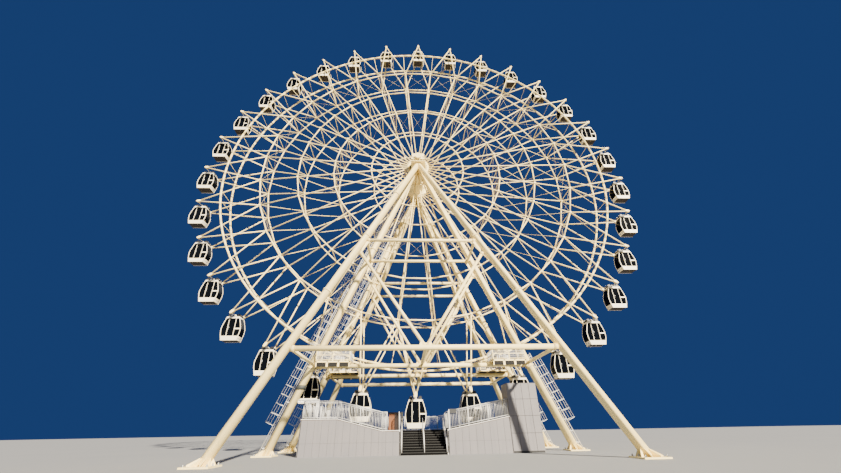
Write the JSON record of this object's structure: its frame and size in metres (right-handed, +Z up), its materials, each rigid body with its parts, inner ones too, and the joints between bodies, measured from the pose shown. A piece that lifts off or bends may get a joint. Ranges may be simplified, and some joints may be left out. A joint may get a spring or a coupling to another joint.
{
  "type": "observation wheel, scale model at 1:2 of a real wheel",
  "caption": "Scale model of a tall observation wheel: twin dished lattice frames with hanging glazed cabins, turning between braced tubular legs above a railed boarding deck",
  "frame": {"origin": "on the floor under the middle of the hub, halfway between the front and back wheel frames", "axes": "+X to the right seen from the boarding stair, in the plane of the wheel; +Y along the shaft from the front, where the stair is, to the back; +Z up"},
  "size_m": [31.1144, 15.195, 32.6283],
  "materials": {
    "cream_paint": "satin cream-white paint",
    "white_paint": "satin white paint",
    "sheet_cladding": "weathered grey-white painted sheet",
    "dark_tread": "dark grey textured treads",
    "cabin_shell": "gloss ivory paint",
    "timber": "brown stained boards"
  },
  "bodies": {
    "base": {"front_bearing_head": "cream_paint", "front_outer_leg_left": "cream_paint", "front_inner_leg_left": "cream_paint", "front_outer_leg_right": "cream_paint", "front_inner_leg_right": "cream_paint", "front_inner_bracing": "cream_paint", "front_outer_bracing": "cream_paint", "back_bearing_head": "cream_paint", "back_outer_leg_left": "cream_paint", "back_inner_leg_left": "cream_paint", "back_outer_leg_right": "cream_paint", "back_inner_leg_right": "cream_paint", "back_inner_bracing": "cream_paint", "back_outer_bracing": "cream_paint", "front_left_drive": "cream_paint", "front_right_drive": "cream_paint", "back_left_drive": "cream_paint", "back_right_drive": "cream_paint", "boarding_deck": "sheet_cladding", "front_stair": "dark_tread", "equipment_cabinet": "white_paint", "operator_cabinet": "timber", "side_landing_beam": "white_paint", "left_ladder": "white_paint", "right_ladder": "white_paint"},
    "wheel": {"wheel_front_frame": "cream_paint", "wheel_back_frame": "cream_paint", "hub": "cream_paint"},
    "cabin_01": {"cabin_01": "cabin_shell"},
    "cabin_02": {"cabin_02": "cabin_shell"},
    "cabin_03": {"cabin_03": "cabin_shell"},
    "cabin_04": {"cabin_04": "cabin_shell"},
    "cabin_05": {"cabin_05": "cabin_shell"},
    "cabin_06": {"cabin_06": "cabin_shell"},
    "cabin_07": {"cabin_07": "cabin_shell"},
    "cabin_08": {"cabin_08": "cabin_shell"},
    "cabin_09": {"cabin_09": "cabin_shell"},
    "cabin_10": {"cabin_10": "cabin_shell"},
    "cabin_11": {"cabin_11": "cabin_shell"},
    "cabin_12": {"cabin_12": "cabin_shell"},
    "cabin_13": {"cabin_13": "cabin_shell"},
    "cabin_14": {"cabin_14": "cabin_shell"},
    "cabin_15": {"cabin_15": "cabin_shell"},
    "cabin_16": {"cabin_16": "cabin_shell"},
    "cabin_17": {"cabin_17": "cabin_shell"},
    "cabin_18": {"cabin_18": "cabin_shell"},
    "cabin_19": {"cabin_19": "cabin_shell"},
    "cabin_20": {"cabin_20": "cabin_shell"},
    "cabin_21": {"cabin_21": "cabin_shell"},
    "cabin_22": {"cabin_22": "cabin_shell"},
    "cabin_23": {"cabin_23": "cabin_shell"},
    "cabin_24": {"cabin_24": "cabin_shell"},
    "cabin_25": {"cabin_25": "cabin_shell"},
    "cabin_26": {"cabin_26": "cabin_shell"},
    "cabin_27": {"cabin_27": "cabin_shell"},
    "cabin_28": {"cabin_28": "cabin_shell"},
    "cabin_29": {"cabin_29": "cabin_shell"},
    "cabin_30": {"cabin_30": "cabin_shell"},
    "cabin_31": {"cabin_31": "cabin_shell"},
    "cabin_32": {"cabin_32": "cabin_shell"}
  },
  "joints": [
    {"name": "wheel_turn", "type": "hinge", "parent": "base", "child": "wheel", "pos_m": [0, 0, 17.55], "axis": [0, 1, 0], "continuous": true},
    {"name": "cabin_01_swing", "type": "hinge", "parent": "wheel", "child": "cabin_01", "pos_m": [0.28796, 0, 32.54724], "axis": [0, 1, 0], "continuous": true},
    {"name": "cabin_02_swing", "type": "hinge", "parent": "wheel", "child": "cabin_02", "pos_m": [3.20824, 0, 32.20289], "axis": [0, 1, 0], "continuous": true},
    {"name": "cabin_03_swing", "type": "hinge", "parent": "wheel", "child": "cabin_03", "pos_m": [6.00523, 0, 31.29544], "axis": [0, 1, 0], "continuous": true},
    {"name": "cabin_04_swing", "type": "hinge", "parent": "wheel", "child": "cabin_04", "pos_m": [8.57145, 0, 29.85976], "axis": [0, 1, 0], "continuous": true},
    {"name": "cabin_05_swing", "type": "hinge", "parent": "wheel", "child": "cabin_05", "pos_m": [10.80827, 0, 27.95103], "axis": [0, 1, 0], "continuous": true},
    {"name": "cabin_06_swing", "type": "hinge", "parent": "wheel", "child": "cabin_06", "pos_m": [12.62973, 0, 25.64259], "axis": [0, 1, 0], "continuous": true},
    {"name": "cabin_07_swing", "type": "hinge", "parent": "wheel", "child": "cabin_07", "pos_m": [13.96584, 0, 23.02315], "axis": [0, 1, 0], "continuous": true},
    {"name": "cabin_08_swing", "type": "hinge", "parent": "wheel", "child": "cabin_08", "pos_m": [14.76525, 0, 20.19339], "axis": [0, 1, 0], "continuous": true},
    {"name": "cabin_09_swing", "type": "hinge", "parent": "wheel", "child": "cabin_09", "pos_m": [14.99724, 0, 17.26204], "axis": [0, 1, 0], "continuous": true},
    {"name": "cabin_10_swing", "type": "hinge", "parent": "wheel", "child": "cabin_10", "pos_m": [14.65289, 0, 14.34176], "axis": [0, 1, 0], "continuous": true},
    {"name": "cabin_11_swing", "type": "hinge", "parent": "wheel", "child": "cabin_11", "pos_m": [13.74544, 0, 11.54476], "axis": [0, 1, 0], "continuous": true},
    {"name": "cabin_12_swing", "type": "hinge", "parent": "wheel", "child": "cabin_12", "pos_m": [12.30976, 0, 8.97855], "axis": [0, 1, 0], "continuous": true},
    {"name": "cabin_13_swing", "type": "hinge", "parent": "wheel", "child": "cabin_13", "pos_m": [10.40103, 0, 6.74173], "axis": [0, 1, 0], "continuous": true},
    {"name": "cabin_14_swing", "type": "hinge", "parent": "wheel", "child": "cabin_14", "pos_m": [8.09259, 0, 4.92027], "axis": [0, 1, 0], "continuous": true},
    {"name": "cabin_15_swing", "type": "hinge", "parent": "wheel", "child": "cabin_15", "pos_m": [5.47315, 0, 3.58416], "axis": [0, 1, 0], "continuous": true},
    {"name": "cabin_16_swing", "type": "hinge", "parent": "wheel", "child": "cabin_16", "pos_m": [2.64339, 0, 2.78475], "axis": [0, 1, 0], "continuous": true},
    {"name": "cabin_17_swing", "type": "hinge", "parent": "wheel", "child": "cabin_17", "pos_m": [-0.28796, 0, 2.55276], "axis": [0, 1, 0], "continuous": true},
    {"name": "cabin_18_swing", "type": "hinge", "parent": "wheel", "child": "cabin_18", "pos_m": [-3.20824, 0, 2.89711], "axis": [0, 1, 0], "continuous": true},
    {"name": "cabin_19_swing", "type": "hinge", "parent": "wheel", "child": "cabin_19", "pos_m": [-6.00523, 0, 3.80456], "axis": [0, 1, 0], "continuous": true},
    {"name": "cabin_20_swing", "type": "hinge", "parent": "wheel", "child": "cabin_20", "pos_m": [-8.57145, 0, 5.24024], "axis": [0, 1, 0], "continuous": true},
    {"name": "cabin_21_swing", "type": "hinge", "parent": "wheel", "child": "cabin_21", "pos_m": [-10.80827, 0, 7.14897], "axis": [0, 1, 0], "continuous": true},
    {"name": "cabin_22_swing", "type": "hinge", "parent": "wheel", "child": "cabin_22", "pos_m": [-12.62973, 0, 9.45741], "axis": [0, 1, 0], "continuous": true},
    {"name": "cabin_23_swing", "type": "hinge", "parent": "wheel", "child": "cabin_23", "pos_m": [-13.96584, 0, 12.07685], "axis": [0, 1, 0], "continuous": true},
    {"name": "cabin_24_swing", "type": "hinge", "parent": "wheel", "child": "cabin_24", "pos_m": [-14.76525, 0, 14.90661], "axis": [0, 1, 0], "continuous": true},
    {"name": "cabin_25_swing", "type": "hinge", "parent": "wheel", "child": "cabin_25", "pos_m": [-14.99724, 0, 17.83796], "axis": [0, 1, 0], "continuous": true},
    {"name": "cabin_26_swing", "type": "hinge", "parent": "wheel", "child": "cabin_26", "pos_m": [-14.65289, 0, 20.75824], "axis": [0, 1, 0], "continuous": true},
    {"name": "cabin_27_swing", "type": "hinge", "parent": "wheel", "child": "cabin_27", "pos_m": [-13.74544, 0, 23.55523], "axis": [0, 1, 0], "continuous": true},
    {"name": "cabin_28_swing", "type": "hinge", "parent": "wheel", "child": "cabin_28", "pos_m": [-12.30976, 0, 26.12145], "axis": [0, 1, 0], "continuous": true},
    {"name": "cabin_29_swing", "type": "hinge", "parent": "wheel", "child": "cabin_29", "pos_m": [-10.40103, 0, 28.35827], "axis": [0, 1, 0], "continuous": true},
    {"name": "cabin_30_swing", "type": "hinge", "parent": "wheel", "child": "cabin_30", "pos_m": [-8.09259, 0, 30.17973], "axis": [0, 1, 0], "continuous": true},
    {"name": "cabin_31_swing", "type": "hinge", "parent": "wheel", "child": "cabin_31", "pos_m": [-5.47315, 0, 31.51584], "axis": [0, 1, 0], "continuous": true},
    {"name": "cabin_32_swing", "type": "hinge", "parent": "wheel", "child": "cabin_32", "pos_m": [-2.64339, 0, 32.31525], "axis": [0, 1, 0], "continuous": true}
  ],
  "couplings": [
    {"joint": "cabin_01_swing", "follows": "wheel_turn", "ratio": -1},
    {"joint": "cabin_02_swing", "follows": "wheel_turn", "ratio": -1},
    {"joint": "cabin_03_swing", "follows": "wheel_turn", "ratio": -1},
    {"joint": "cabin_04_swing", "follows": "wheel_turn", "ratio": -1},
    {"joint": "cabin_05_swing", "follows": "wheel_turn", "ratio": -1},
    {"joint": "cabin_06_swing", "follows": "wheel_turn", "ratio": -1},
    {"joint": "cabin_07_swing", "follows": "wheel_turn", "ratio": -1},
    {"joint": "cabin_08_swing", "follows": "wheel_turn", "ratio": -1},
    {"joint": "cabin_09_swing", "follows": "wheel_turn", "ratio": -1},
    {"joint": "cabin_10_swing", "follows": "wheel_turn", "ratio": -1},
    {"joint": "cabin_11_swing", "follows": "wheel_turn", "ratio": -1},
    {"joint": "cabin_12_swing", "follows": "wheel_turn", "ratio": -1},
    {"joint": "cabin_13_swing", "follows": "wheel_turn", "ratio": -1},
    {"joint": "cabin_14_swing", "follows": "wheel_turn", "ratio": -1},
    {"joint": "cabin_15_swing", "follows": "wheel_turn", "ratio": -1},
    {"joint": "cabin_16_swing", "follows": "wheel_turn", "ratio": -1},
    {"joint": "cabin_17_swing", "follows": "wheel_turn", "ratio": -1},
    {"joint": "cabin_18_swing", "follows": "wheel_turn", "ratio": -1},
    {"joint": "cabin_19_swing", "follows": "wheel_turn", "ratio": -1},
    {"joint": "cabin_20_swing", "follows": "wheel_turn", "ratio": -1},
    {"joint": "cabin_21_swing", "follows": "wheel_turn", "ratio": -1},
    {"joint": "cabin_22_swing", "follows": "wheel_turn", "ratio": -1},
    {"joint": "cabin_23_swing", "follows": "wheel_turn", "ratio": -1},
    {"joint": "cabin_24_swing", "follows": "wheel_turn", "ratio": -1},
    {"joint": "cabin_25_swing", "follows": "wheel_turn", "ratio": -1},
    {"joint": "cabin_26_swing", "follows": "wheel_turn", "ratio": -1},
    {"joint": "cabin_27_swing", "follows": "wheel_turn", "ratio": -1},
    {"joint": "cabin_28_swing", "follows": "wheel_turn", "ratio": -1},
    {"joint": "cabin_29_swing", "follows": "wheel_turn", "ratio": -1},
    {"joint": "cabin_30_swing", "follows": "wheel_turn", "ratio": -1},
    {"joint": "cabin_31_swing", "follows": "wheel_turn", "ratio": -1},
    {"joint": "cabin_32_swing", "follows": "wheel_turn", "ratio": -1}
  ]
}
